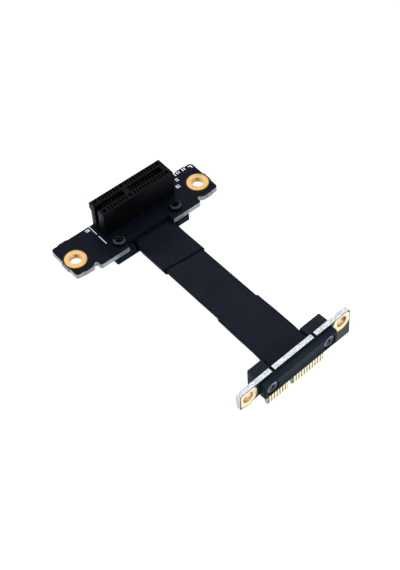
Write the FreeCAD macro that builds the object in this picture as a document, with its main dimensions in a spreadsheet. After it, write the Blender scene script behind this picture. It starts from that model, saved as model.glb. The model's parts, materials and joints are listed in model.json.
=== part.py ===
import FreeCAD, Part
import math
import os
import Sketcher
from FreeCAD import Placement, Rotation, Vector

# A short card-slot extension lead: a socket on a small drilled board, a flat sleeved cable,
# and a plug board whose gold-fingered edge stands upright. Millimetres, +Z up, the lead runs
# along Y with the socket at the back, and the floor is z = 0.

doc = FreeCAD.newDocument("slot_extension_lead")
sheet = doc.addObject("Spreadsheet::Sheet", "dims")

DIMENSIONS = [
    # Layout of the two ends
    ("reach", 76.2, "socket board's back edge to the plug board's front face at its key"),
    ("plug_shift", -3.3, "plug key to the socket key, along X"),
    ("plug_turn", 4.0, "turn of the plug about Z, degrees"),
    # Card edge and contact layout shared by socket and plug
    ("contact_pitch", 1.0, "contact to contact"),
    ("long_contacts", 11, "contacts on the long side of the key"),
    ("short_contacts", 7, "contacts on the short side of the key"),
    ("key_gap", 3.0, "between the two contacts beside the key"),
    # Socket board
    ("slot_board_length", 50.2, "along X"),
    ("slot_board_depth", 12.4, "along Y at the ends"),
    ("slot_board_ear", 7.3, "end of the board to its deeper middle"),
    ("slot_board_step", 1.3, "how far the middle stands forward"),
    ("slot_board_thickness", 1.6, "board"),
    ("slot_board_corner", 1.0, "radius of the outer corners"),
    ("router_relief", 1.2, "diameter of the relief where the middle starts"),
    ("cable_notch_width", 15.4, "notch in the front edge over the cable"),
    ("cable_notch_depth", 2.0, "same notch"),
    ("slot_hole_end", 3.3, "mounting hole to the end of the board"),
    ("slot_hole_inset", 7.2, "mounting hole to the back edge"),
    ("break_tab_length", 3.0, "broken panel tab left on the edges"),
    ("break_tab_height", 0.4, "how far the tab stands out"),
    ("break_tab_inset", 4.0, "tab to the end of the board"),
    ("break_hole", 0.55, "diameter of the perforation holes"),
    ("break_holes", 4, "perforation holes along a tab"),
    ("break_hole_pitch", 0.75, "perforation hole to hole"),
    # Plated mounting holes, alike on both boards
    ("mount_bore", 3.5, "clear bore of a plated mounting hole"),
    ("mount_ring", 6.8, "diameter of its copper ring"),
    ("plating", 0.1, "wall of the plated barrel"),
    ("copper", 0.06, "thickness of pads, rings and fingers"),
    # Socket body
    ("slot_body_left", 10.45, "key to the open end"),
    ("slot_body_right", 14.15, "key to the closed end"),
    ("slot_body_width", 6.9, "across the top"),
    ("slot_body_height", 8.8, "above the board"),
    ("slot_line_inset", 2.8, "middle of the slot to the board's back edge"),
    ("lip_height", 2.3, "rear lip along the top"),
    ("lip_overhang", 0.8, "how far the rear lip stands out"),
    ("lip_round", 0.6, "radius along the rear lip's two outer edges"),
    ("slot_width", 1.8, "card slot"),
    ("slot_depth", 7.5, "card slot"),
    ("slot_lead_in", 0.25, "chamfer at the mouth of the slot"),
    ("slot_right_reach", 12.5, "key to the closed end of the slot"),
    ("key_bar", 1.7, "bar across the slot"),
    ("window_row", 4.44, "front row of windows to the rear row"),
    ("window_width", 0.55, "along X"),
    ("window_length", 1.4, "along Y"),
    ("window_depth", 0.9, "below the top"),
    ("square_window", 1.05, "larger windows at the ends and the key"),
    ("square_window_inset", 1.4, "to the ends of the body"),
    ("channel_width", 0.55, "contact channel along X"),
    ("channel_inner", 0.75, "slot middle to the channel"),
    ("channel_height", 7.8, "above the board"),
    # Socket contacts
    ("contact_width", 0.4, "along X"),
    ("contact_strip", 0.25, "thickness of the spring strip"),
    ("tail_row", 3.4, "front tails to rear tails"),
    ("tail_hole", 0.6, "square plated hole for a tail"),
    ("tail_reach", 0.9, "tail below the board"),
    ("contact_waist", 2.0, "height where the spring leaves the wall"),
    ("contact_bow", 6.3, "height of the contact point"),
    ("contact_gap", 1.24, "front contact point to the rear one"),
    ("contact_tip", 7.6, "height of the tip"),
    ("contact_tip_flare", 0.5, "tip behind the contact point"),
    # Socket clamp and its screws
    ("slot_clamp_length", 25.8, "along X"),
    ("slot_clamp_depth", 5.8, "along Y"),
    ("slot_clamp_height", 3.4, "along Z"),
    ("slot_clamp_inset", 7.4, "rear face to the board's back edge"),
    ("slot_clamp_shift", 0.87, "middle of the clamp to the key, along X"),
    ("slot_screw_left_end", 3.2, "left screw to the end of the clamp"),
    ("slot_screw_right_end", 2.65, "right screw to the end of the clamp"),
    ("clamp_corner", 0.4, "radius of the clamp's upright corners"),
    ("clamp_edge", 0.25, "chamfer along the plug clamps' edges"),
    ("screw_shank", 2.0, "thread diameter of the clamp screws"),
    ("screw_clearance", 0.15, "round a shank or head"),
    ("slot_screw_head", 3.9, "pan head diameter"),
    ("slot_screw_head_height", 1.3, "pan head"),
    ("slot_screw_length", 4.3, "below the head"),
    ("screw_crown", 0.72, "flat top of a head, as a share of its diameter"),
    ("slot_screw_cross", 2.1, "span of the cross recess"),
    ("screw_cross_width", 0.5, "width of its arms"),
    ("screw_cross_depth", 0.6, "depth"),
    # Flat cable
    ("ribbon_wires", 6, "wires in each of the two ribbons"),
    ("wire_diameter", 1.0, "over the insulation"),
    ("wire_pitch", 0.96, "wire to wire"),
    ("ribbon_gap", 0.14, "between the two ribbons"),
    ("sleeve_wall", 0.35, "shrink sleeve"),
    ("sleeve_corner", 0.6, "bevelled corners of an outer sleeve"),
    ("sleeve_slack", 0.05, "between a sleeve and what it holds"),
    ("sleeve_overlap", 3.0, "outer sleeve over the middle one"),
    ("upper_sleeve_reach", 14.5, "socket clamp's front to the sleeve's end"),
    ("middle_sleeve_show", 24.9, "bare length of the middle sleeve"),
    ("sleeve_tail", 5.0, "upper sleeve inside the socket clamp"),
    ("cable_bend", 20.0, "radius of the bend beside each clamp"),
    ("cable_straight", 0.5, "level cable outside each clamp"),
    ("slot_cable_shift", 1.9, "cable to the key at the socket, along X"),
    ("plug_cable_shift", 0.9, "cable to the key at the plug, along the plug"),
    ("cable_spare", 2.0, "cable drawn past the plug board before it is cut off"),
    ("slot_recess_gap", 0.73, "socket clamp's recess to the sleeve, each side"),
    ("plug_recess_gap", 0.2, "plug clamp's recess to the sleeve, each side"),
    ("ribbon_end", 5.3, "end of the ribbons to the board's back edge"),
    ("slot_joint_length", 1.5, "solder joint under the socket board"),
    ("joint_width", 0.7, "solder joint, across"),
    ("plug_joint_length", 0.5, "solder joint behind the plug board"),
    # Plug board
    ("plug_left_end", 2.8, "left mounting hole to the end of the board"),
    ("plug_right_end", 3.2, "right mounting hole to the end of the board"),
    ("plug_board_height", 13.2, "fingertips to the top edge"),
    ("plug_board_core", 1.45, "board without its copper"),
    ("plug_board_corner", 1.0, "radius of the top corners"),
    ("shoulder_height", 7.7, "fingertips to the shoulders"),
    ("leg_bottom", 3.3, "fingertips to the foot of the right leg"),
    ("leg_width", 5.4, "right leg"),
    ("tongue_left", 8.15, "key to the tongue's left edge"),
    ("tongue_right", 12.15, "key to the tongue's right edge"),
    ("key_notch_width", 1.9, "notch in the tongue"),
    ("key_notch_height", 7.2, "notch in the tongue"),
    ("tip_bevel_height", 0.8, "bevel along the fingertips"),
    ("tip_bevel_depth", 0.35, "same bevel, each face"),
    ("finger_width", 0.7, "gold finger"),
    ("finger_top", 6.2, "fingertips to the top of the fingers"),
    ("plug_left_gap", 0.85, "left mounting hole's ring to the clamps"),
    ("plug_right_gap", 0.05, "right mounting hole's ring to the clamps"),
    ("plug_hole_height", 10.6, "above the fingertips"),
    ("ring_margin", 0.25, "ring to the board's edge where it is cut off"),
    ("top_notch_spacing", 15.2, "two notches in the top edge"),
    ("top_notch_shift", 1.6, "their middle to the key"),
    ("top_notch_width", 1.0, "notch"),
    ("top_notch_depth", 1.0, "notch"),
    # Plug clamps and their screws
    ("plug_clamp_length", 26.3, "along the plug"),
    ("plug_clamp_shift", 2.2, "middle of the clamps to the key"),
    ("front_clamp_bottom", 6.95, "above the fingertips"),
    ("front_clamp_height", 5.1, "front clamp"),
    ("front_clamp_depth", 1.95, "front clamp"),
    ("rear_clamp_depth", 3.4, "rear clamp"),
    ("plug_screw_end", 2.85, "screw to the end of the clamps"),
    ("plug_screw_height", 9.5, "above the fingertips"),
    ("plug_screw_head", 3.9, "head diameter"),
    ("plug_screw_head_height", 0.95, "head"),
    ("plug_screw_cross", 2.0, "span of the cross recess"),
    ("plug_screw_length", 4.4, "below the head"),
    ("counterbore", 4.2, "in the front clamp"),
    ("counterbore_depth", 1.1, "in the front clamp"),
]

for row, (alias, number, meaning) in enumerate(DIMENSIONS, start=1):
    sheet.set(f"A{row}", alias)
    sheet.set(f"B{row}", str(number))
    sheet.set(f"C{row}", meaning)
    sheet.setAlias(f"B{row}", alias)
doc.recompute()

pieces = []


def value(formula):
    """The number that a formula on the sheet gives."""
    return float(sheet.evalExpression(str(formula)))


def new_body(label, frame):
    """A sub-part of its own, drawn in the frame that it is placed in."""
    body = doc.addObject("PartDesign::Body", label)
    body.Label = label
    body.Placement = frame
    pieces.append(body)
    return body


def new_sketch(body, role, offset="0"):
    """A sketch on one of the body's origin planes, moved along the plane's normal."""
    sketch = body.newObject("Sketcher::SketchObject", body.Name + "_sketch")
    plane = next(item for item in body.Origin.OriginFeatures if item.Role == role)
    sketch.AttachmentSupport = [(plane, "")]
    sketch.MapMode = "FlatFace"
    sketch.setExpression("AttachmentOffset.Base.z", offset)
    return sketch


def bind(sketch, constraint, formula):
    """Add a constraint that follows a formula."""
    index = sketch.addConstraint(constraint)
    sketch.setExpression(f"Constraints[{index}]", str(formula))


def draw_outline(sketch, corners):
    """A closed line through corners, each a pair of formulas."""
    first = sketch.GeometryCount
    points = [Vector(value(x), value(y), 0) for x, y in corners]
    count = len(points)
    for i in range(count):
        sketch.addGeometry(Part.LineSegment(points[i], points[(i + 1) % count]), False)
    for i in range(count):
        sketch.addConstraint(Sketcher.Constraint("Coincident", first + i, 2, first + (i + 1) % count, 1))
    for i, (x, y) in enumerate(corners):
        bind(sketch, Sketcher.Constraint("DistanceX", first + i, 1, points[i].x), x)
        bind(sketch, Sketcher.Constraint("DistanceY", first + i, 1, points[i].y), y)


def draw_block(sketch, left, right, low, high):
    """A rectangle between four formulas."""
    draw_outline(sketch, [(left, low), (right, low), (right, high), (left, high)])


def draw_bar(sketch, x, y, length, width):
    """A rectangle about a centre."""
    draw_block(sketch, f"{x} - ({length}) / 2", f"{x} + ({length}) / 2",
               f"{y} - ({width}) / 2", f"{y} + ({width}) / 2")


def draw_hexagon(sketch, x, y, diameter):
    """A six-sided hole about a centre, for small holes that repeat."""
    corners = []
    for i in range(6):
        angle = math.radians(60 * i)
        corners.append((f"{x} + {math.cos(angle):.6f} * {diameter} / 2",
                        f"{y} + {math.sin(angle):.6f} * {diameter} / 2"))
    draw_outline(sketch, corners)


def draw_circle(sketch, x, y, diameter):
    """A circle about a centre."""
    centre = Vector(value(x), value(y), 0)
    index = sketch.addGeometry(Part.Circle(centre, Vector(0, 0, 1), value(diameter) / 2), False)
    bind(sketch, Sketcher.Constraint("DistanceX", index, 3, centre.x), x)
    bind(sketch, Sketcher.Constraint("DistanceY", index, 3, centre.y), y)
    bind(sketch, Sketcher.Constraint("Diameter", index, value(diameter)), diameter)


def pad(body, sketch, length, reverse=False):
    """Thicken a sketch along its normal, or against it."""
    feature = body.newObject("PartDesign::Pad", body.Name + "_pad")
    feature.Profile = sketch
    feature.setExpression("Length", length)
    feature.Reversed = reverse
    doc.recompute()
    return feature


def pocket(body, sketch, depth, reverse=False):
    """Cut a sketch against its normal, or along it, and make sure that it cut."""
    before = body.Shape.Volume
    feature = body.newObject("PartDesign::Pocket", body.Name + "_pocket")
    feature.Profile = sketch
    feature.setExpression("Length", depth)
    feature.Reversed = reverse
    doc.recompute()
    if not body.Shape.Volume < before:
        raise RuntimeError(f"{feature.Name} cut nothing")
    return feature


def repeat(body, feature, sketch, count, axis="H_Axis", pitch="dims.contact_pitch"):
    """Repeat a feature along one of its sketch's axes."""
    pattern = body.newObject("PartDesign::LinearPattern", body.Name + "_row")
    pattern.Originals = [feature]
    pattern.Direction = (sketch, [axis])
    pattern.setExpression("Length", f"({count} - 1) * {pitch}")
    pattern.setExpression("Occurrences", count)
    body.Tip = pattern
    doc.recompute()


def revolve(body, sketch):
    """Turn a half section about its sketch's vertical axis."""
    feature = body.newObject("PartDesign::Revolution", body.Name + "_turned")
    feature.Profile = sketch
    feature.ReferenceAxis = (sketch, ["V_Axis"])
    feature.Angle = 360
    doc.recompute()


def dress(body, kind, size_name, formula, chosen):
    """Fillet or chamfer the edges that a test picks."""
    base = body.Tip
    names = [f"Edge{i}" for i, edge in enumerate(base.Shape.Edges, start=1) if chosen(edge)]
    feature = body.newObject(kind, body.Name + "_edges")
    feature.Base = (base, names)
    feature.setExpression(size_name, formula)
    doc.recompute()


def along(edge, axis):
    """True where a straight edge runs along an axis."""
    if not isinstance(edge.Curve, Part.Line):
        return False
    return abs(abs(edge.tangentAt(edge.FirstParameter).dot(axis)) - 1) < 1e-6


X_AXIS = Vector(1, 0, 0)
Y_AXIS = Vector(0, 1, 0)
Z_AXIS = Vector(0, 0, 1)
NEAR = 1e-4

# Places of the two ends. The origin is under the middle of the whole lead, so the socket's
# overhang at the back and the plug clamp's chamfered left front corner are equally far from it.
turn = math.radians(value("dims.plug_turn"))
corner_x = value("dims.plug_clamp_length / 2 - dims.plug_clamp_shift - dims.clamp_edge")
front_reach = corner_x * math.sin(turn) + value("dims.front_clamp_depth") * math.cos(turn)
rear_reach = value("dims.slot_body_width / 2 - dims.slot_line_inset")
slot_back = (value("dims.reach") + front_reach - rear_reach) / 2
plug_y = slot_back - value("dims.reach")

SLOT = Placement(Vector(0, slot_back, 0), Rotation())
PLUG = Placement(Vector(value("dims.plug_shift"), plug_y, 0), Rotation(Z_AXIS, value("dims.plug_turn")))

BOARD_LOW = "dims.slot_clamp_height"
BOARD_TOP = "(dims.slot_clamp_height + dims.slot_board_thickness)"
FIRST_LONG = "dims.key_gap / 2"
FIRST_SHORT = "(-dims.key_gap / 2 - (dims.short_contacts - 1) * dims.contact_pitch)"
CHANNEL_OUTER = "(dims.tail_row / 2 + dims.contact_strip / 2)"
CONTACT_RUNS = [(FIRST_LONG, "dims.long_contacts"), (FIRST_SHORT, "dims.short_contacts")]
SLOT_HOLE = "(dims.slot_board_length / 2 - dims.slot_hole_end)"
SLOT_CLAMP_LEFT = "(dims.slot_clamp_shift - dims.slot_clamp_length / 2)"
SLOT_CLAMP_RIGHT = "(dims.slot_clamp_shift + dims.slot_clamp_length / 2)"
SLOT_SCREWS = [f"({SLOT_CLAMP_LEFT} + dims.slot_screw_left_end)",
               f"({SLOT_CLAMP_RIGHT} - dims.slot_screw_right_end)"]
PLUG_CLAMP_LEFT = "(dims.plug_clamp_shift - dims.plug_clamp_length / 2)"
PLUG_CLAMP_RIGHT = "(dims.plug_clamp_shift + dims.plug_clamp_length / 2)"
PLUG_LEFT_HOLE = f"({PLUG_CLAMP_LEFT} - dims.plug_left_gap - dims.mount_ring / 2)"
PLUG_RIGHT_HOLE = f"({PLUG_CLAMP_RIGHT} + dims.plug_right_gap + dims.mount_ring / 2)"
PLUG_SCREWS = [f"({PLUG_CLAMP_LEFT} + dims.plug_screw_end)", f"({PLUG_CLAMP_RIGHT} - dims.plug_screw_end)"]


# Socket board: routed outline, plated holes, contact tail holes and broken panel tabs
def make_slot_board():
    body = new_body("slot_board", SLOT)
    half = "dims.slot_board_length / 2"
    middle = "(dims.slot_board_length / 2 - dims.slot_board_ear)"
    notch = "dims.cable_notch_width / 2"
    step_y = "-dims.slot_board_depth"
    front_y = "-dims.slot_board_depth - dims.slot_board_step"
    notch_y = f"{front_y} + dims.cable_notch_depth"
    outline = new_sketch(body, "XY_Plane", BOARD_LOW)
    draw_outline(outline, [
        (f"-{half}", "0"), (f"-{half}", step_y), (f"-{middle}", step_y), (f"-{middle}", front_y),
        (f"-{notch}", front_y), (f"-{notch}", notch_y), (notch, notch_y), (notch, front_y),
        (middle, front_y), (middle, step_y), (half, step_y), (half, "0"),
    ])
    pad(body, outline, "dims.slot_board_thickness")
    end_x = value(half)
    dress(body, "PartDesign::Fillet", "Radius", "dims.slot_board_corner",
          lambda edge: along(edge, Z_AXIS) and abs(abs(edge.CenterOfMass.x) - end_x) < NEAR)
    middle_x = value(middle)
    front = value(front_y)
    dress(body, "PartDesign::Fillet", "Radius", "dims.slot_board_step / 2",
          lambda edge: along(edge, Z_AXIS) and abs(abs(edge.CenterOfMass.x) - middle_x) < NEAR
          and abs(edge.CenterOfMass.y - front) < NEAR)

    tab_x = "(dims.slot_board_length / 2 - dims.break_tab_inset)"
    tabs = new_sketch(body, "XY_Plane", BOARD_LOW)
    rooted = "2 * dims.break_tab_height"
    for side in ("-", ""):
        draw_bar(tabs, f"{side}{tab_x}", step_y, "dims.break_tab_length", rooted)
        draw_bar(tabs, f"{side}{tab_x}", "0", "dims.break_tab_length", rooted)
        draw_bar(tabs, f"{side}{half}", "-dims.slot_hole_inset", rooted, "dims.break_tab_length")
    pad(body, tabs, "dims.slot_board_thickness")

    # Each tab's outer edge is a row of half holes, drawn once at the row's start and repeated
    out = "dims.break_tab_height"
    back = "(dims.break_holes - 1) / 2 * dims.break_hole_pitch"
    rows = [
        ("H_Axis", [(f"{side}{tab_x} - {back}", f"{step_y} - {out}") for side in ("-", "")]),
        ("H_Axis", [(f"{side}{tab_x} - {back}", out) for side in ("-", "")]),
        ("V_Axis", [(f"{side}({half} + {out})", f"-dims.slot_hole_inset - {back}") for side in ("-", "")]),
    ]
    for axis, starts in rows:
        perforation = new_sketch(body, "XY_Plane", BOARD_TOP)
        for x, y in starts:
            draw_hexagon(perforation, x, y, "dims.break_hole")
        hole = pocket(body, perforation, "dims.slot_board_thickness")
        repeat(body, hole, perforation, "dims.break_holes", axis, "dims.break_hole_pitch")

    drilled = new_sketch(body, "XY_Plane", BOARD_TOP)
    screw_y = "-dims.slot_clamp_inset - dims.slot_clamp_depth / 2"
    for side, screw in zip(("-", ""), SLOT_SCREWS):
        draw_circle(drilled, f"{side}{SLOT_HOLE}", "-dims.slot_hole_inset",
                    "dims.mount_bore + 2 * dims.plating")
        draw_circle(drilled, screw, screw_y, "dims.screw_shank + 2 * dims.screw_clearance")
        draw_circle(drilled, f"{side}({middle} + dims.router_relief / 2)", step_y, "dims.router_relief")
    pocket(body, drilled, "dims.slot_board_thickness")

    for first, count in CONTACT_RUNS:
        tail_holes = new_sketch(body, "XY_Plane", BOARD_TOP)
        for side in ("-", "+"):
            draw_bar(tail_holes, first, f"-dims.slot_line_inset {side} dims.tail_row / 2",
                     "dims.tail_hole", "dims.tail_hole")
        hole = pocket(body, tail_holes, "dims.slot_board_thickness")
        repeat(body, hole, tail_holes, count)


# Plated mounting hole: a thin barrel with a copper ring on each face, axis along +Z
def turn_ring(label, frame, thickness):
    body = new_body(label, frame)
    bore = "dims.mount_bore / 2"
    barrel = "dims.mount_bore / 2 + dims.plating"
    rim = "dims.mount_ring / 2"
    section = new_sketch(body, "XZ_Plane")
    draw_outline(section, [
        (bore, "dims.copper"), (bore, f"-{thickness} - dims.copper"),
        (rim, f"-{thickness} - dims.copper"), (rim, f"-{thickness}"),
        (barrel, f"-{thickness}"), (barrel, "0"), (rim, "0"), (rim, "dims.copper"),
    ])
    revolve(body, section)
    return body


def make_slot_rings():
    for name, side in (("left", -1), ("right", 1)):
        x = side * value(SLOT_HOLE)
        place = Placement(Vector(x, -value("dims.slot_hole_inset"), value(BOARD_TOP)), Rotation())
        turn_ring(f"slot_board_{name}_ring", SLOT * place, "dims.slot_board_thickness")


# Socket body: a long moulding with a lip at the rear, one end of its slot open
def make_slot_body():
    body = new_body("slot_body", SLOT)
    line = "-dims.slot_line_inset"
    top = f"({BOARD_TOP} + dims.slot_body_height)"
    half = "dims.slot_body_width / 2"
    lip_low = f"{top} - dims.lip_height"
    waist = f"{line} + {half} - dims.lip_overhang"
    section = new_sketch(body, "YZ_Plane", "-dims.slot_body_left")
    draw_outline(section, [
        (f"{line} - {half}", BOARD_TOP), (waist, BOARD_TOP), (waist, f"{lip_low} - dims.lip_overhang"),
        (f"{line} + {half}", lip_low), (f"{line} + {half}", top), (f"{line} - {half}", top),
    ])
    pad(body, section, "dims.slot_body_left + dims.slot_body_right")
    rear = value(f"{line} + {half}")
    dress(body, "PartDesign::Fillet", "Radius", "dims.lip_round",
          lambda edge: along(edge, X_AXIS) and abs(edge.CenterOfMass.y - rear) < NEAR)

    slot = new_sketch(body, "XY_Plane", top)
    near = f"{line} - dims.slot_width / 2"
    far = f"{line} + dims.slot_width / 2"
    draw_block(slot, "dims.key_bar / 2", "dims.slot_right_reach", near, far)
    draw_block(slot, "-dims.slot_body_left - dims.slot_width", "-dims.key_bar / 2", near, far)
    pocket(body, slot, "dims.slot_depth")
    top_z = value(top)
    walls = (value(near), value(far))
    dress(body, "PartDesign::Chamfer", "Size", "dims.slot_lead_in",
          lambda edge: along(edge, X_AXIS) and abs(edge.CenterOfMass.z - top_z) < NEAR
          and min(abs(edge.CenterOfMass.y - y) for y in walls) < NEAR)

    for first, count in CONTACT_RUNS:
        windows = new_sketch(body, "XY_Plane", top)
        channels = new_sketch(body, "XY_Plane", BOARD_TOP)
        for side in ("-", "+"):
            draw_bar(windows, first, f"{line} {side} dims.window_row / 2",
                     "dims.window_width", "dims.window_length")
            draw_bar(channels, first, f"{line} {side} (dims.channel_inner + {CHANNEL_OUTER}) / 2",
                     "dims.channel_width", f"{CHANNEL_OUTER} - dims.channel_inner")
        repeat(body, pocket(body, windows, "dims.window_depth"), windows, count)
        repeat(body, pocket(body, channels, "dims.channel_height", reverse=True), channels, count)

    squares = new_sketch(body, "XY_Plane", top)
    for x in ("-dims.slot_body_left + dims.square_window_inset", "0",
              "dims.slot_body_right - dims.square_window_inset"):
        for side in ("-", "+"):
            draw_bar(squares, x, f"{line} {side} dims.window_row / 2",
                     "dims.square_window", "dims.square_window")
    pocket(body, squares, "dims.window_depth")


# Socket contacts: sprung strips with a tail through the board, one row each side of the slot
def make_slot_contacts():
    for name, side in (("front", "-"), ("rear", "+")):
        body = new_body(f"slot_contacts_{name}", SLOT)
        body.AllowCompound = True
        half = "dims.contact_strip / 2"
        profile = [
            ("dims.tail_row / 2", f"{BOARD_LOW} - dims.tail_reach"),
            ("dims.tail_row / 2", f"{BOARD_TOP} + dims.contact_waist"),
            ("dims.contact_gap / 2 + dims.contact_strip / 2", f"{BOARD_TOP} + dims.contact_bow"),
            ("dims.contact_gap / 2 + dims.contact_strip / 2 + dims.contact_tip_flare",
             f"{BOARD_TOP} + dims.contact_tip"),
        ]
        inner = [(f"-dims.slot_line_inset {side} ({out} - {half})", z) for out, z in profile]
        outer = [(f"-dims.slot_line_inset {side} ({out} + {half})", z) for out, z in profile]
        for first, count in CONTACT_RUNS:
            strip = new_sketch(body, "YZ_Plane", f"{first} - dims.contact_width / 2")
            draw_outline(strip, inner + outer[::-1])
            contact = pad(body, strip, "dims.contact_width")
            repeat(body, contact, strip, count, axis="N_Axis")


# Socket clamp: a bar under the board with a recess that the cable lies in
def make_slot_clamp():
    body = new_body("slot_clamp", SLOT)
    rear = "-dims.slot_clamp_inset"
    front = "-dims.slot_clamp_inset - dims.slot_clamp_depth"
    bar = new_sketch(body, "XY_Plane")
    draw_block(bar, SLOT_CLAMP_LEFT, SLOT_CLAMP_RIGHT, front, rear)
    pad(body, bar, "dims.slot_clamp_height")
    dress(body, "PartDesign::Fillet", "Radius", "dims.clamp_corner", lambda edge: along(edge, Z_AXIS))
    recess = new_sketch(body, "XY_Plane", "dims.slot_clamp_height")
    draw_bar(recess, "dims.slot_cable_shift", f"({rear} - dims.slot_clamp_depth / 2)",
             f"{SLEEVE_WIDTH} + 2 * dims.slot_recess_gap", "2 * dims.slot_clamp_depth")
    pocket(body, recess, RECESS_DEPTH)
    pilots = new_sketch(body, "XY_Plane", "dims.slot_clamp_height")
    for screw in SLOT_SCREWS:
        draw_circle(pilots, screw, f"{rear} - dims.slot_clamp_depth / 2",
                    "dims.screw_shank + dims.screw_clearance / 2")
    pocket(body, pilots, "dims.slot_screw_length - dims.slot_board_thickness + dims.screw_clearance")


# Clamp screw: a round head with a cross recess on a plain shank, head towards +Z
def turn_screw(label, frame, head, head_height, length, span):
    body = new_body(label, frame)
    section = new_sketch(body, "XZ_Plane")
    draw_outline(section, [
        ("0", head_height), (f"dims.screw_crown * {head} / 2", head_height),
        (f"{head} / 2", f"{head_height} / 2"), (f"{head} / 2", "0"),
        ("dims.screw_shank / 2", "0"), ("dims.screw_shank / 2", f"-{length}"), ("0", f"-{length}"),
    ])
    revolve(body, section)
    for arm, width in ((span, "dims.screw_cross_width"), ("dims.screw_cross_width", span)):
        cross = new_sketch(body, "XY_Plane", head_height)
        draw_bar(cross, "0", "0", arm, width)
        pocket(body, cross, "dims.screw_cross_depth")


def make_screws():
    for name, slot_screw, plug_screw in zip(("left", "right"), SLOT_SCREWS, PLUG_SCREWS):
        y = value("-dims.slot_clamp_inset - dims.slot_clamp_depth / 2")
        seat = Vector(value(slot_screw), y, value(BOARD_TOP))
        turn_screw(f"slot_clamp_screw_{name}", SLOT * Placement(seat, Rotation()),
                   "dims.slot_screw_head", "dims.slot_screw_head_height", "dims.slot_screw_length",
                   "dims.slot_screw_cross")
        seat = Vector(value(plug_screw), value("dims.counterbore_depth - dims.front_clamp_depth"),
                      value("dims.plug_screw_height"))
        turn_screw(f"plug_clamp_screw_{name}", PLUG * Placement(seat, Rotation(X_AXIS, 90)),
                   "dims.plug_screw_head", "dims.plug_screw_head_height", "dims.plug_screw_length",
                   "dims.plug_screw_cross")


# Plug board: an upright card edge with a key notch, two ears and a notched top edge
def make_plug_board():
    body = new_body("plug_board", PLUG)
    left = f"{PLUG_LEFT_HOLE} - dims.plug_left_end"
    right = f"{PLUG_RIGHT_HOLE} + dims.plug_right_end"
    leg = f"{right} - dims.leg_width"
    key = "dims.key_notch_width / 2"
    shoulder = "dims.shoulder_height"
    outline = new_sketch(body, "XZ_Plane")
    draw_outline(outline, [
        (left, shoulder), ("-dims.tongue_left", shoulder), ("-dims.tongue_left", "0"), (f"-{key}", "0"),
        (f"-{key}", "dims.key_notch_height"), (key, "dims.key_notch_height"), (key, "0"),
        ("dims.tongue_right", "0"), ("dims.tongue_right", shoulder), (leg, shoulder),
        (leg, "dims.leg_bottom"), (right, "dims.leg_bottom"),
        (right, "dims.plug_board_height"), (left, "dims.plug_board_height"),
    ])
    pad(body, outline, "dims.plug_board_core", reverse=True)
    top_z = value("dims.plug_board_height")
    dress(body, "PartDesign::Fillet", "Radius", "dims.plug_board_corner",
          lambda edge: along(edge, Y_AXIS) and abs(edge.CenterOfMass.z - top_z) < NEAR)

    drilled = new_sketch(body, "XZ_Plane")
    for x in (PLUG_LEFT_HOLE, PLUG_RIGHT_HOLE):
        draw_circle(drilled, x, "dims.plug_hole_height", "dims.mount_bore + 2 * dims.plating")
    for x in PLUG_SCREWS:
        draw_circle(drilled, x, "dims.plug_screw_height", "dims.screw_shank + 2 * dims.screw_clearance")
    for side in ("-", "+"):
        draw_bar(drilled, f"dims.top_notch_shift {side} dims.top_notch_spacing / 2",
                 "dims.plug_board_height", "dims.top_notch_width", "2 * dims.top_notch_depth")
    pocket(body, drilled, "dims.plug_board_core")

    bevels = new_sketch(body, "YZ_Plane", "-dims.tongue_left")
    core = "dims.plug_board_core"
    bevel = "dims.tip_bevel_height"
    draw_outline(bevels, [("0", "0"), ("dims.tip_bevel_depth", "0"), ("0", bevel)])
    draw_outline(bevels, [(core, "0"), (core, bevel), (f"{core} - dims.tip_bevel_depth", "0")])
    pocket(body, bevels, "dims.tongue_left + dims.tongue_right", reverse=True)


def make_plug_rings():
    for name, x, outer, inner in (("left", PLUG_LEFT_HOLE, "-", ""), ("right", PLUG_RIGHT_HOLE, "", "-")):
        place = Placement(Vector(value(x), 0, value("dims.plug_hole_height")), Rotation(X_AXIS, 90))
        body = turn_ring(f"plug_{name}_ring", PLUG * place, "dims.plug_board_core")
        # The board's end and top edge cut the ring off. Here +X is along the plug and +Y is up.
        rest = new_sketch(body, "XY_Plane", "2 * dims.copper")
        far = "dims.mount_ring"
        top = "dims.plug_board_height - dims.plug_hole_height - dims.ring_margin"
        end = f"{outer}(dims.plug_{name}_end - dims.ring_margin)"
        draw_outline(rest, [
            (f"{outer}{far}", f"-{far}"), (end, f"-{far}"), (end, top),
            (f"{inner}{far}", top), (f"{inner}{far}", far), (f"{outer}{far}", far),
        ])
        pocket(body, rest, "dims.plug_board_core + 4 * dims.copper")


# Gold fingers: thin plates on both faces of the tongue, in line with the socket's contacts
def make_plug_fingers():
    for name, offset, reverse in (("front", "0", False), ("rear", "-dims.plug_board_core", True)):
        body = new_body(f"plug_fingers_{name}", PLUG)
        body.AllowCompound = True
        for first, count in CONTACT_RUNS:
            plate = new_sketch(body, "XZ_Plane", offset)
            draw_block(plate, f"{first} - dims.finger_width / 2", f"{first} + dims.finger_width / 2",
                       "dims.tip_bevel_height", "dims.finger_top")
            finger = pad(body, plate, "dims.copper", reverse)
            repeat(body, finger, plate, count)


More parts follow.
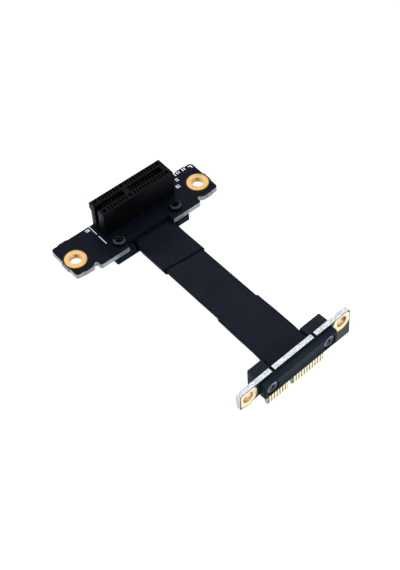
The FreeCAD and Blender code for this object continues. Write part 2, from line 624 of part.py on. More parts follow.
# Plug clamps: a thin front bar with counterbored screws, and a deeper rear bar that the cable enters
def make_plug_clamps():
    body = new_body("plug_front_clamp", PLUG)
    bar = new_sketch(body, "XZ_Plane")
    draw_block(bar, PLUG_CLAMP_LEFT, PLUG_CLAMP_RIGHT, "dims.front_clamp_bottom",
               "dims.front_clamp_bottom + dims.front_clamp_height")
    pad(body, bar, "dims.front_clamp_depth")
    dress(body, "PartDesign::Chamfer", "Size", "dims.clamp_edge", lambda edge: edge.CenterOfMass.y < -NEAR)
    seats = new_sketch(body, "XZ_Plane", "dims.front_clamp_depth")
    bores = new_sketch(body, "XZ_Plane", "dims.front_clamp_depth")
    for x in PLUG_SCREWS:
        draw_circle(seats, x, "dims.plug_screw_height", "dims.counterbore")
        draw_circle(bores, x, "dims.plug_screw_height", "dims.screw_shank + 2 * dims.screw_clearance")
    pocket(body, seats, "dims.counterbore_depth")
    pocket(body, bores, "dims.front_clamp_depth")

    body = new_body("plug_rear_clamp", PLUG)
    behind = "-dims.plug_board_core"
    bar = new_sketch(body, "XZ_Plane", behind)
    draw_block(bar, PLUG_CLAMP_LEFT, PLUG_CLAMP_RIGHT, "dims.front_clamp_bottom", "dims.plug_board_height")
    pad(body, bar, "dims.rear_clamp_depth", reverse=True)
    board_face = value("dims.plug_board_core")
    dress(body, "PartDesign::Chamfer", "Size", "dims.clamp_edge",
          lambda edge: edge.CenterOfMass.y > board_face + NEAR)
    recess = new_sketch(body, "XY_Plane", "dims.plug_board_height")
    beside = f"({SLEEVE_WIDTH} / 2 + dims.plug_recess_gap)"
    draw_block(recess, f"dims.plug_cable_shift - {beside} - {max(-SLANT, 0)} * dims.rear_clamp_depth",
               f"dims.plug_cable_shift + {beside} + {max(SLANT, 0)} * dims.rear_clamp_depth",
               "0", "dims.plug_board_core + 2 * dims.rear_clamp_depth")
    pocket(body, recess, RECESS_DEPTH)
    pilots = new_sketch(body, "XZ_Plane", behind)
    for x in PLUG_SCREWS:
        draw_circle(pilots, x, "dims.plug_screw_height", "dims.screw_shank + dims.screw_clearance / 2")
    pocket(body, pilots, "dims.plug_screw_length + dims.counterbore_depth - dims.front_clamp_depth"
                         " - dims.plug_board_core + dims.screw_clearance")


# Flat cable: two ribbons side by side in three shrink sleeves, the middle one under the others
RIBBON_WIDTH = "((dims.ribbon_wires - 1) * dims.wire_pitch + dims.wire_diameter)"
RIBBON_MIDDLE = f"({RIBBON_WIDTH} + dims.ribbon_gap) / 2"
SLEEVE_DEPTH = "(2 * (dims.sleeve_wall + dims.sleeve_slack))"
SLEEVE_WIDTH = f"(2 * {RIBBON_WIDTH} + dims.ribbon_gap + 2 * {SLEEVE_DEPTH})"
SLEEVE_THICK = f"(dims.wire_diameter + 2 * {SLEEVE_DEPTH})"
RECESS_DEPTH = f"({SLEEVE_THICK} + dims.sleeve_slack)"

# The cable's own frame: x from the front of the socket clamp towards the plug, z up
slot_mouth = SLOT.multVec(Vector(value("dims.slot_cable_shift"),
                                 -value("dims.slot_clamp_inset + dims.slot_clamp_depth"), 0))
plug_mouth = PLUG.multVec(Vector(value("dims.plug_cable_shift"), value("dims.plug_board_core"), 0))
run = plug_mouth - slot_mouth
CABLE = Placement(slot_mouth, Rotation(X_AXIS, Vector(run.x, run.y, 0)))
# How far the cable drifts along the plug for each millimetre behind it
plug_way = PLUG.Rotation.inverted().multVec(run)
SLANT = plug_way.x / plug_way.y
SLOT_CABLE_Z = f"(dims.slot_clamp_height - dims.sleeve_slack - {SLEEVE_THICK} / 2)"
PLUG_CABLE_Z = f"(dims.plug_board_height - dims.sleeve_slack - {SLEEVE_THICK} / 2)"
PATH_START = "(dims.ribbon_end - dims.slot_clamp_inset - dims.slot_clamp_depth)"
FAR_END = f"({run.Length} + dims.cable_spare)"


def draw_path():
    """Level at both ends, with a bend beside each clamp and a straight slope between them."""
    path = doc.addObject("Sketcher::SketchObject", "cable_path")
    path.Placement = CABLE * Placement(Vector(), Rotation(X_AXIS, 90))
    low = value(SLOT_CABLE_Z)
    high = value(PLUG_CABLE_Z)
    radius = value("dims.cable_bend")
    bend_start = value("dims.cable_straight")
    bend_end = run.Length - value("dims.rear_clamp_depth + dims.cable_straight")
    far_end = value(FAR_END)
    # The slope is the inner tangent of the two bends' circles
    across = bend_end - bend_start
    down = 2 * radius - (high - low)
    slope = math.pi / 2 - math.atan2(down, across) - math.acos(2 * radius / math.hypot(across, down))
    low_circle = Part.Circle(Vector(bend_start, low + radius, 0), Z_AXIS, radius)
    high_circle = Part.Circle(Vector(bend_end, high - radius, 0), Z_AXIS, radius)
    low_bend = Part.ArcOfCircle(low_circle, -math.pi / 2, -math.pi / 2 + slope)
    high_bend = Part.ArcOfCircle(high_circle, math.pi / 2, math.pi / 2 + slope)
    path.addGeometry([
        Part.LineSegment(Vector(value(PATH_START), low, 0), low_bend.StartPoint),
        low_bend,
        Part.LineSegment(low_bend.EndPoint, high_bend.EndPoint),
        high_bend,
        Part.LineSegment(high_bend.StartPoint, Vector(far_end, high, 0)),
    ], False)
    for first, first_end, second, second_end in ((0, 2, 1, 1), (1, 2, 2, 1), (2, 2, 3, 2), (3, 1, 4, 1)):
        path.addConstraint(Sketcher.Constraint("Tangent", first, first_end, second, second_end))
    path.addConstraint(Sketcher.Constraint("Horizontal", 0))
    path.addConstraint(Sketcher.Constraint("Horizontal", 4))
    bind(path, Sketcher.Constraint("Radius", 1, radius), "dims.cable_bend")
    bind(path, Sketcher.Constraint("Radius", 3, radius), "dims.cable_bend")
    bind(path, Sketcher.Constraint("DistanceX", 0, 1, value(PATH_START)), PATH_START)
    bind(path, Sketcher.Constraint("DistanceY", 0, 1, low), SLOT_CABLE_Z)
    bind(path, Sketcher.Constraint("DistanceX", 0, 2, bend_start), "dims.cable_straight")
    bind(path, Sketcher.Constraint("DistanceX", 4, 1, bend_end),
         f"{run.Length} - dims.rear_clamp_depth - dims.cable_straight")
    bind(path, Sketcher.Constraint("DistanceX", 4, 2, far_end), FAR_END)
    bind(path, Sketcher.Constraint("DistanceY", 4, 2, high), PLUG_CABLE_Z)
    return path


def section_frame():
    start = Vector(value(PATH_START), 0, value(SLOT_CABLE_Z))
    return CABLE * Placement(start, Rotation(Y_AXIS, Z_AXIS, X_AXIS))


def draw_flat_section(name, inset):
    """A flat sleeve's outline with bevelled corners, at a depth inside the outer sleeve's face."""
    sketch = doc.addObject("Sketcher::SketchObject", name)
    sketch.Placement = section_frame()
    half_width = f"({SLEEVE_WIDTH} / 2 - {inset})"
    half_thick = f"({SLEEVE_THICK} / 2 - {inset})"
    corner = f"(dims.sleeve_corner - (2 - sqrt(2)) * {inset})"
    inner_width = f"({half_width} - {corner})"
    inner_thick = f"({half_thick} - {corner})"
    draw_outline(sketch, [
        (half_width, f"-{inner_thick}"), (half_width, inner_thick),
        (inner_width, half_thick), (f"-{inner_width}", half_thick),
        (f"-{half_width}", inner_thick), (f"-{half_width}", f"-{inner_thick}"),
        (f"-{inner_width}", f"-{half_thick}"), (inner_width, f"-{half_thick}"),
    ])
    return sketch


def draw_ribbon_section(name, side):
    """A ridge for each wire, with a valley between neighbours."""
    sketch = doc.addObject("Sketcher::SketchObject", name)
    sketch.Placement = section_frame()
    count = int(value("dims.ribbon_wires"))
    ridge = "dims.wire_diameter / 2"
    valley = "dims.wire_diameter / 4"
    first = f"({side}{RIBBON_MIDDLE} - (dims.ribbon_wires - 1) * dims.wire_pitch / 2)"
    last = f"{first} + ({count} - 1) * dims.wire_pitch"
    above = [(f"{first} - {ridge}", valley), (first, ridge)]
    for i in range(1, count):
        above.append((f"{first} + ({i} - 1 / 2) * dims.wire_pitch", valley))
        above.append((f"{first} + {i} * dims.wire_pitch", ridge))
    above.append((f"{last} + {ridge}", valley))
    below = [(x, f"-{z}") for x, z in reversed(above)]
    draw_outline(sketch, above + below)
    return sketch


def sweep(name, section, path):
    """Carry a section along the whole path."""
    feature = doc.addObject("Part::Sweep", name)
    feature.Sections = [section]
    feature.Spine = (path, [f"Edge{i + 1}" for i in range(path.GeometryCount)])
    feature.Solid = True
    feature.Frenet = False
    return feature


def stretch(name, start, end):
    """A block round the cable between two places along it, to keep only that stretch."""
    block = doc.addObject("Part::Box", name)
    block.setExpression("Length", f"{end} - ({start})")
    block.setExpression("Width", f"2 * {SLEEVE_WIDTH}")
    block.setExpression("Height", "2 * dims.plug_board_height")
    block.Placement = CABLE * Placement(Vector(value(start), -value(SLEEVE_WIDTH),
                                               -value("dims.plug_board_height / 2")), Rotation())
    return block


def combine(kind, name, base, tool):
    """A boolean of two objects."""
    feature = doc.addObject(kind, name)
    feature.Base = base
    feature.Tool = tool
    return feature


def combine_stretch(name, base, start, end):
    """Only a stretch of the cable's whole length."""
    return combine("Part::Common", name, base, stretch(name + "_stretch", start, end))


def make_cable():
    path = draw_path()

    def tube(name, inset):
        outside = sweep(name + "_outside", draw_flat_section(name + "_outline", inset), path)
        hollow_outline = draw_flat_section(name + "_hollow_outline", f"({inset} + dims.sleeve_wall)")
        return combine("Part::Cut", name, outside, sweep(name + "_hollow", hollow_outline, path))

    over = tube("over_sleeve", "0")
    under = tube("under_sleeve", "(dims.sleeve_wall + dims.sleeve_slack)")

    # What reaches into the plug board is cut off parallel to it, with room for the solder joints
    behind = doc.addObject("Part::Box", "plug_side")
    behind.setExpression("Length", f"4 * {SLEEVE_WIDTH}")
    behind.setExpression("Width", f"2 * {SLEEVE_WIDTH}")
    behind.setExpression("Height", "2 * dims.plug_board_height")
    behind.Placement = PLUG * Placement(Vector(-2 * value(SLEEVE_WIDTH), value(
        f"dims.plug_board_core + dims.plug_joint_length - 2 * {SLEEVE_WIDTH}"), 0), Rotation())

    first_end = "dims.upper_sleeve_reach"
    second_end = "(dims.upper_sleeve_reach + dims.middle_sleeve_show)"
    upper = combine_stretch("upper_sleeve", over, "-dims.sleeve_tail", first_end)
    middle = combine_stretch("middle_sleeve", under, f"{first_end} - dims.sleeve_overlap",
                             f"{second_end} + dims.sleeve_overlap")
    lower_length = combine_stretch("lower_length", over, second_end, FAR_END)
    lower = combine("Part::Cut", "lower_sleeve", lower_length, behind)

    ribbons = []
    for name, side in (("signal_ribbon", "-"), ("power_ribbon", "")):
        length = sweep(name + "_length", draw_ribbon_section(name + "_section", side), path)
        ribbons.append(combine("Part::Cut", name, length, behind))
    pieces.extend([upper, middle, lower] + ribbons)


def wire_places():
    """Where the wires lie across the cable, as formulas."""
    count = int(value("dims.ribbon_wires"))
    places = []
    for side in ("-", ""):
        for i in range(count):
            places.append(f"{side}{RIBBON_MIDDLE} + ({i} - (dims.ribbon_wires - 1) / 2) * dims.wire_pitch")
    return places


# Solder joints between the wire ends and the two boards
def make_joints():
    body = new_body("slot_wire_joints", CABLE)
    body.AllowCompound = True
    wire_top = f"{SLOT_CABLE_Z} + dims.wire_diameter / 2"
    joints = new_sketch(body, "XY_Plane", wire_top)
    start = f"{PATH_START} + dims.joint_width / 4"
    for y in wire_places():
        draw_block(joints, start, f"{start} + dims.slot_joint_length", f"{y} - dims.joint_width / 2",
                   f"{y} + dims.joint_width / 2")
    pad(body, joints, f"{BOARD_LOW} - ({wire_top})")

    body = new_body("plug_wire_joints", PLUG)
    body.AllowCompound = True
    joints = new_sketch(body, "XZ_Plane", "-dims.plug_board_core")
    for y in wire_places():
        draw_bar(joints, f"(dims.plug_cable_shift + {y})", PLUG_CABLE_Z,
                 "dims.joint_width", "dims.joint_width")
    pad(body, joints, "dims.plug_joint_length", reverse=True)


make_slot_board()
make_slot_rings()
make_slot_body()
make_slot_contacts()
make_slot_clamp()
make_screws()
make_plug_board()
make_plug_rings()
make_plug_fingers()
make_plug_clamps()
make_cable()
make_joints()
doc.recompute()

# Every object has to have come out right before anything is written
for item in doc.Objects:
    if "Invalid" in item.State or "Error" in item.State:
        raise RuntimeError(f"{item.Label} failed: {item.State}")
for piece in pieces:
    if piece.Shape.isNull() or not piece.Shape.isValid():
        raise RuntimeError(f"{piece.Label} has no valid shape")

os.makedirs("parts", exist_ok=True)
for piece in pieces:
    piece.Shape.exportStep(f"parts/{piece.Label}.step")
    print(piece.Label, "solids", len(piece.Shape.Solids), "volume", round(piece.Shape.Volume, 3))
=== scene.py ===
import json
import math

import bmesh
import bpy
from mathutils import Matrix, Vector


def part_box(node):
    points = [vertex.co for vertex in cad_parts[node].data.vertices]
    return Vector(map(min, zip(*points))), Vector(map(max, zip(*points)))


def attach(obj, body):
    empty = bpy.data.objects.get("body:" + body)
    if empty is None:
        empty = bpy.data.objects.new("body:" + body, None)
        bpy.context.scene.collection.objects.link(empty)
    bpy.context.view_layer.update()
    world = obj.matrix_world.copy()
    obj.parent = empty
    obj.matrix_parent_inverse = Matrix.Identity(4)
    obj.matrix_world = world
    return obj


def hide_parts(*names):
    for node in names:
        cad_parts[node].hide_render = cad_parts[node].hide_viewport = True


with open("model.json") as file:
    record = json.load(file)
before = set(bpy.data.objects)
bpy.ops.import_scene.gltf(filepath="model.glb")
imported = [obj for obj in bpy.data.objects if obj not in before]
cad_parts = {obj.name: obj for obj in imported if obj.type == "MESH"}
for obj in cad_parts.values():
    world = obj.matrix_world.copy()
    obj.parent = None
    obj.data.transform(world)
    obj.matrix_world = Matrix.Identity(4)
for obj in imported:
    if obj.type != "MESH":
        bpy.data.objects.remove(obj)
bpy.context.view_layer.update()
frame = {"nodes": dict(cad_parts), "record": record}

# Socket board: a small routed board of glass cloth and resin under a near-black solder mask.
# It was snapped out of a larger panel, so its cut edges and broken tabs show the pale fibre,
# apart from the notch over the cable, whose cut edge is given the mask's dark colour.
MM = 0.001
nodes = frame["nodes"]
mounts = {mount["name"]: mount for mount in frame["record"]["mounts"]}
board_holes = mounts["socket_board_holes"]
HOLE_INSET = 7.2 * MM
SOCKET_BACK = board_holes["pos_m"][1] + HOLE_INSET
BOARD_LOW = 3.4 * MM
BOARD_TOP = 5.0 * MM
CABLE_NOTCH_REACH = 7.9 * MM
CABLE_NOTCH_INSET = 11 * MM
# The cut fibre is darker near the middle, beside the socket, and brighter further out, where the tabs broke
DULL_REACH = 10.5 * MM
BRIGHT_REACH = 14.5 * MM


def new_material(name):
    """A named material with its node tree, its shader and its Object coordinates."""
    material = bpy.data.materials.new(name)
    material.use_nodes = True
    tree = material.node_tree
    place = tree.nodes.new("ShaderNodeTexCoord")
    return material, tree, tree.nodes["Principled BSDF"], place.outputs["Object"]


def add_noise(tree, vector, scale, detail, stretch=None):
    """Soft random grain. The scale is in grains per metre."""
    noise = tree.nodes.new("ShaderNodeTexNoise")
    noise.inputs["Scale"].default_value = scale
    noise.inputs["Detail"].default_value = detail
    if stretch:
        mapping = tree.nodes.new("ShaderNodeMapping")
        mapping.inputs["Scale"].default_value = stretch
        tree.links.new(vector, mapping.inputs["Vector"])
        vector = mapping.outputs["Vector"]
    tree.links.new(vector, noise.inputs["Vector"])
    return noise.outputs["Fac"]


def add_ramp(tree, factor, stops):
    """Colours along a factor, as (place, colour) pairs."""
    ramp = tree.nodes.new("ShaderNodeValToRGB")
    while len(ramp.color_ramp.elements) < len(stops):
        ramp.color_ramp.elements.new(0.5)
    for element, (place, colour) in zip(ramp.color_ramp.elements, stops):
        element.position = place
        element.color = (*colour, 1.0)
    tree.links.new(factor, ramp.inputs["Fac"])
    return ramp.outputs["Color"]


def add_range(tree, factor, low, high, start=0.3, end=0.7):
    """Go from a low to a high value as a factor goes from its start to its end."""
    spread = tree.nodes.new("ShaderNodeMapRange")
    spread.inputs["From Min"].default_value = start
    spread.inputs["From Max"].default_value = end
    spread.inputs["To Min"].default_value = low
    spread.inputs["To Max"].default_value = high
    tree.links.new(factor, spread.inputs["Value"])
    return spread.outputs["Result"]


def add_bump(tree, shader, height, strength, depth):
    """Raise the surface by a height pattern. The depth is in metres."""
    bump = tree.nodes.new("ShaderNodeBump")
    bump.inputs["Strength"].default_value = strength
    bump.inputs["Distance"].default_value = depth
    tree.links.new(height, bump.inputs["Height"])
    tree.links.new(bump.outputs["Normal"], shader.inputs["Normal"])


def mix_colours(tree, factor, first, second):
    """The first colour where a factor is 0, and the second where it is 1."""
    mix = tree.nodes.new("ShaderNodeMix")
    mix.data_type = "RGBA"
    tree.links.new(factor, mix.inputs["Factor"])
    tree.links.new(first, mix.inputs["A"])
    tree.links.new(second, mix.inputs["B"])
    return mix.outputs["Result"]


def add_maths(tree, operation, first, second):
    """A sum on two values, each a socket or a number."""
    node = tree.nodes.new("ShaderNodeMath")
    node.operation = operation
    for socket, given in zip(node.inputs, (first, second)):
        if isinstance(given, bpy.types.NodeSocket):
            tree.links.new(given, socket)
        else:
            socket.default_value = given
    return node.outputs["Value"]


def along(tree, vector, axis):
    """How far a place or a direction reaches along an axis."""
    dot = tree.nodes.new("ShaderNodeVectorMath")
    dot.operation = "DOT_PRODUCT"
    dot.inputs[1].default_value = axis
    tree.links.new(vector, dot.inputs[0])
    return dot.outputs["Value"]


def between(tree, factor, low, high):
    """1 where a factor lies between two values, and 0 elsewhere."""
    above = add_maths(tree, "GREATER_THAN", factor, low)
    below = add_maths(tree, "LESS_THAN", factor, high)
    return add_maths(tree, "MULTIPLY", above, below)


def facing(tree, axis):
    """1 on the faces that look along an axis, either way, and 0 on the edges round them."""
    normal = tree.nodes.new("ShaderNodeNewGeometry").outputs["Normal"]
    reach = along(tree, normal, axis)
    either_way = add_maths(tree, "MULTIPLY", reach, reach)
    return add_range(tree, either_way, low=0.0, high=1.0, start=0.36, end=0.64)


def use_material(name, material):
    """Give a carried-over solid its finish."""
    slots = nodes[name].data.materials
    slots.clear()
    slots.append(material)


board_mask, tree, shader, place = new_material("socket_board_mask")
mask = add_ramp(tree, add_noise(tree, place, scale=420, detail=4),
                [(0.35, (0.0024, 0.003, 0.006)), (0.65, (0.004, 0.0048, 0.0092))])
layers = add_noise(tree, place, scale=1500, detail=6, stretch=(1.0, 1.0, 3.0))
dull_fibre = add_ramp(tree, layers, [
    (0.34, (0.07, 0.075, 0.085)),
    (0.5, (0.16, 0.17, 0.185)),
    (0.68, (0.3, 0.31, 0.33))])
bright_fibre = add_ramp(tree, layers, [
    (0.34, (0.16, 0.165, 0.18)),
    (0.5, (0.34, 0.35, 0.37)),
    (0.68, (0.62, 0.63, 0.65))])
# The fibre goes from darker near the middle to brighter further out
from_key = along(tree, place, (1, 0, 0))
from_middle = add_maths(tree, "ABSOLUTE", from_key, 0.0)
outwards = add_range(tree, from_middle, low=0.0, high=1.0, start=DULL_REACH, end=BRIGHT_REACH)
fibre = mix_colours(tree, outwards, dull_fibre, bright_fibre)
# The notch's cut edge over the cable takes the mask's dark colour in place of the fibre
over_cable = between(tree, from_key, -CABLE_NOTCH_REACH, CABLE_NOTCH_REACH)
at_front = add_maths(tree, "LESS_THAN", along(tree, place, (0, 1, 0)), SOCKET_BACK - CABLE_NOTCH_INSET)
routed_notch = add_maths(tree, "MULTIPLY", over_cable, at_front)
edge = mix_colours(tree, routed_notch, fibre, mask)
on_face = facing(tree, (0, 0, 1))
tree.links.new(mix_colours(tree, on_face, edge, mask), shader.inputs["Base Color"])
shader.inputs["Specular IOR Level"].default_value = 0.05
tree.links.new(add_range(tree, on_face, low=0.8, high=0.4, start=0.0, end=1.0), shader.inputs["Roughness"])
add_bump(tree, shader, layers, strength=0.15, depth=0.04 * MM)
use_material("slot_board", board_mask)

# Printed guide marks: thin white ink on the mask, screened on before the socket was fitted.
# A broken line marks the socket's open end and short ticks stand beside its closed end.
INK_THICKNESS = 0.02 * MM


def colour_by(tree, shader, factor, dark, light, start=0.3, end=0.7):
    """Let a factor take the surface from a dark to a light shade."""
    tree.links.new(add_ramp(tree, factor, [(start, dark), (end, light)]), shader.inputs["Base Color"])


def finish_piece(bm, name, material, stands_for=()):
    """Turn a bmesh into a piece of the object that rides on its one body."""
    bmesh.ops.recalc_face_normals(bm, faces=bm.faces)
    mesh = bpy.data.meshes.new(name)
    bm.to_mesh(mesh)
    bm.free()
    mesh.materials.append(material)
    piece = bpy.data.objects.new(name, mesh)
    bpy.context.scene.collection.objects.link(piece)
    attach(piece, "root")
    if stands_for:
        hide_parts(*stands_for)


white_ink, tree, shader, place = new_material("white_ink")
grain = add_noise(tree, place, scale=5200, detail=4)
colour_by(tree, shader, grain, dark=(0.55, 0.57, 0.6), light=(0.86, 0.88, 0.9))
shader.inputs["Roughness"].default_value = 0.65
marks = bmesh.new()
# Each mark is its middle from the socket's key and the board's back edge, and its size, in millimetres
for x, y, length, width in (
        (-11.9, -1.95, 0.22, 3.8), (-11.9, -6.5, 0.22, 3.7),
        (-13.3, -0.75, 0.9, 0.3), (-13.3, -1.35, 0.9, 0.3), (-12.7, -1.05, 0.3, 0.9),
        (24.0, -0.75, 1.1, 0.35), (24.3, -1.3, 0.35, 0.9), (22.2, -0.6, 0.35, 0.9),
        (21.5, -0.6, 0.35, 0.9), (20.2, -0.6, 0.35, 0.8), (19.5, -0.6, 0.35, 0.8),
        (18.7, -0.65, 0.35, 0.9), (17.9, -2.2, 0.9, 0.35), (17.9, -2.9, 0.9, 0.35),
        (16.7, -4.4, 0.9, 0.35), (16.7, -5.1, 0.9, 0.35), (16.1, -4.75, 0.35, 1.05)):
    bmesh.ops.create_cube(marks, size=1.0, matrix=(
        Matrix.Translation((x * MM, SOCKET_BACK + y * MM, BOARD_TOP + INK_THICKNESS / 2))
        @ Matrix.Diagonal((length * MM, width * MM, INK_THICKNESS, 1.0))))
finish_piece(marks, "guide_marks", white_ink)

# Plated mounting holes: rolled copper rings with a gold finish, and a barrel through the board painted
# browner and darker as painted shade in the hole.
# They are part of the board, and screws or standoffs pass through them.
RING_RADIUS = 3.4 * MM
RIM_WIDTH = 0.3 * MM
RING_EDGE = 0.025 * MM


def from_line(tree, place, point, axis):
    """How far a place lies from the line through a point along an axis."""
    offset = tree.nodes.new("ShaderNodeVectorMath")
    offset.operation = "SUBTRACT"
    offset.inputs[1].default_value = point
    tree.links.new(place, offset.inputs[0])
    sideways = tree.nodes.new("ShaderNodeVectorMath")
    sideways.operation = "CROSS_PRODUCT"
    sideways.inputs[1].default_value = axis
    tree.links.new(offset.outputs["Vector"], sideways.inputs[0])
    reach = tree.nodes.new("ShaderNodeVectorMath")
    reach.operation = "LENGTH"
    tree.links.new(sideways.outputs["Vector"], reach.inputs[0])
    return reach.outputs["Value"]


def roughen(tree, shader, factor, low, high):
    """Let a factor take the surface from a low to a high roughness."""
    tree.links.new(add_range(tree, factor, low, high), shader.inputs["Roughness"])


def ring_material(name, hole, axis, deep, bright, barrel):
    """Matt gold on the flat ring, brown where the mask laps over its rim, and a barrel with painted shade.
    """
    material, tree, shader, place = new_material(name)
    grain = add_noise(tree, place, scale=900, detail=4)
    gold = add_ramp(tree, add_noise(tree, place, scale=1400, detail=4), [(0.3, deep), (0.7, bright)])
    rim = add_ramp(tree, grain, [(0.35, (0.07, 0.038, 0.013)), (0.62, (0.115, 0.064, 0.023))])
    lapped = add_range(tree, from_line(tree, place, hole, axis), low=0.0, high=1.0,
                       start=RING_RADIUS - RIM_WIDTH, end=RING_RADIUS - RIM_WIDTH / 2)
    flat = mix_colours(tree, lapped, gold, rim)
    # Painted shade: the barrel's faces get a browner, darker colour than the flat ring
    inside = add_ramp(tree, grain, [(0.35, barrel[0]), (0.62, barrel[1])])
    tree.links.new(mix_colours(tree, facing(tree, axis), inside, flat), shader.inputs["Base Color"])
    shader.inputs["Metallic"].default_value = 0.75
    roughen(tree, shader, add_noise(tree, place, scale=2600, detail=3), low=0.34, high=0.5)
    add_bump(tree, shader, add_noise(tree, place, scale=5200, detail=3), strength=0.05, depth=0.01 * MM)
    return material


def softened_copy(name, width, material):
    """A solid with its hard edges rounded, as they leave the mould or the press."""
    bm = bmesh.new()
    bm.from_mesh(nodes[name].data)
    bmesh.ops.remove_doubles(bm, verts=bm.verts, dist=1e-6)
    bmesh.ops.dissolve_limit(bm, angle_limit=math.radians(1), verts=bm.verts, edges=bm.edges)
    for face in bm.faces:
        face.smooth = True
    mesh = bpy.data.meshes.new(name + "_softened")
    bm.to_mesh(mesh)
    bm.free()
    mesh.materials.clear()
    mesh.materials.append(material)
    piece = bpy.data.objects.new(name + "_softened", mesh)
    bpy.context.scene.collection.objects.link(piece)
    bevel = piece.modifiers.new("rounded_edges", "BEVEL")
    bevel.width = width
    bevel.segments = 2
    bevel.limit_method = "ANGLE"
    bevel.angle_limit = math.radians(25)
    bevel.harden_normals = True
    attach(piece, "root")
    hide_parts(name)


hole_middle = Vector(board_holes["pos_m"])
hole_reach = Vector((board_holes["dims"]["spacing_x_mm"] / 2 * MM, 0.0, 0.0))
for name, hole in (("slot_board_left_ring", hole_middle - hole_reach),
                   ("slot_board_right_ring", hole_middle + hole_reach)):
    gold = ring_material(name + "_gold", hole, (0, 0, 1),
                         deep=(0.69, 0.39, 0.13), bright=(0.75, 0.435, 0.152),
                         barrel=((0.42, 0.25, 0.1), (0.72, 0.48, 0.22)))
    softened_copy(name, RING_EDGE, gold)

# Socket body: one black moulding of glass-filled plastic, pressed onto the board over its contacts.
# Its long slot is open at the left end, and rows of small windows run along its top.
BODY_EDGE = 0.045 * MM


def moulded_plastic(name, dark, light, roughness, specular, grain):
    """Dark plastic with a fine moulded grain and slight changes of shade."""
    material, tree, shader, place = new_material(name)
    shades = add_noise(tree, place, scale=300, detail=4)
    colour_by(tree, shader, shades, dark, light, start=0.35, end=0.65)
    fine = add_noise(tree, place, scale=7000, detail=2)
    roughen(tree, shader, fine, low=roughness - 0.06, high=roughness + 0.06)
    shader.inputs["Specular IOR Level"].default_value = specular
    add_bump(tree, shader, fine, strength=grain, depth=0.02 * MM)
    return material


socket_plastic = moulded_plastic("socket_plastic",
                                 dark=(0.0012, 0.0013, 0.0018), light=(0.0022, 0.0023, 0.003),
                                 roughness=0.46, specular=0.06, grain=0.12)
softened_copy("slot_body", BODY_EDGE, socket_plastic)

# Socket contacts: sprung strips of phosphor bronze, dull where they show, stamped and bent.
# Their tails pass through the board and are soldered underneath.
contact_metal, tree, shader, place = new_material("contact_metal")
grain = add_noise(tree, place, scale=2400, detail=4)
colour_by(tree, shader, grain, dark=(0.1, 0.1, 0.1), light=(0.18, 0.178, 0.175))
shader.inputs["Metallic"].default_value = 1.0
roughen(tree, shader, add_noise(tree, place, scale=6000, detail=2), low=0.35, high=0.5)
for name in ("slot_contacts_front", "slot_contacts_rear"):
    use_material(name, contact_metal)

# Contact joints: a cone of solder round each tail under the board, drawn up by its plated hole.
# The solder is dull silver, rounded where it ran out over its pad.
# In millimetres from the key and the board's back edge, the tails stand 1 apart on each side of the key,
# in a row on each side of the middle of the slot
LONG_CONTACTS = 11
SHORT_CONTACTS = 7
BESIDE_KEY = 1.5
SLOT_LINE = -2.8
TAIL_REACH = 1.7
TAIL_COLUMNS = ([BESIDE_KEY + i for i in range(LONG_CONTACTS)]
                + [-BESIDE_KEY - i for i in range(SHORT_CONTACTS)])
TAIL_ROWS = (SLOT_LINE - TAIL_REACH, SLOT_LINE + TAIL_REACH)
CONE_RADIUS = 0.46 * MM
CONE_TIP = 0.28 * MM
CONE_HEIGHT = 0.55 * MM

solder, tree, shader, place = new_material("solder")
grain = add_noise(tree, place, scale=2000, detail=4)
colour_by(tree, shader, grain, dark=(0.45, 0.46, 0.48), light=(0.72, 0.73, 0.74))
shader.inputs["Metallic"].default_value = 1.0
roughen(tree, shader, add_noise(tree, place, scale=3200, detail=3), low=0.22, high=0.42)
add_bump(tree, shader, add_noise(tree, place, scale=2600, detail=3), strength=0.15, depth=0.03 * MM)


def solder_joint(bm, top, radius, tip_radius, height, length=1.0):
    """A cone that hangs from a pad with a rounded tip, drawn out along Y by a length factor."""
    middle_place = top - Vector((0.0, 0.0, height / 2))
    drawn_out = Matrix.Translation(middle_place) @ Matrix.Diagonal((1.0, length, 1.0, 1.0))
    made = bmesh.ops.create_cone(bm, cap_ends=True, segments=16, radius1=tip_radius, radius2=radius,
                                 depth=height, matrix=drawn_out)
    tip = {v for v in made["verts"] if v.co.z < middle_place.z}
    rim = {e for v in tip for e in v.link_edges if e.other_vert(v) in tip}
    bmesh.ops.bevel(bm, geom=list(rim), offset=tip_radius * 0.6, offset_type="OFFSET", affect="EDGES",
                    segments=3, profile=0.5, material=-1)


cones = bmesh.new()
for column in TAIL_COLUMNS:
    for row in TAIL_ROWS:
        tail = Vector((column * MM, SOCKET_BACK + row * MM, BOARD_LOW))
        solder_joint(cones, tail, CONE_RADIUS, CONE_TIP, CONE_HEIGHT)
finish_piece(cones, "contact_solder", solder)

# Socket clamp: a moulded bar under the board that holds the cable in a wide recess.
# Two black pan-head screws come down through the board into it.
SOCKET_CLAMP_EDGE = 0.12 * MM
PAN_HEAD_EDGE = 0.1 * MM
# The pan heads' painted highlight starts at this height above the board
PAN_HEAD_SHEEN_START = 0.95 * MM
# Painted shade: the socket's clamp is a darker, less glossy copy of the clamp plastic, for the shade under
# the board
shaded_clamp_plastic = moulded_plastic("socket_clamp_shaded_plastic",
                               dark=(0.0035, 0.0068, 0.0095), light=(0.0052, 0.0096, 0.0135),
                               roughness=0.5, specular=0.014, grain=0.16)
softened_copy("slot_clamp", SOCKET_CLAMP_EDGE, shaded_clamp_plastic)


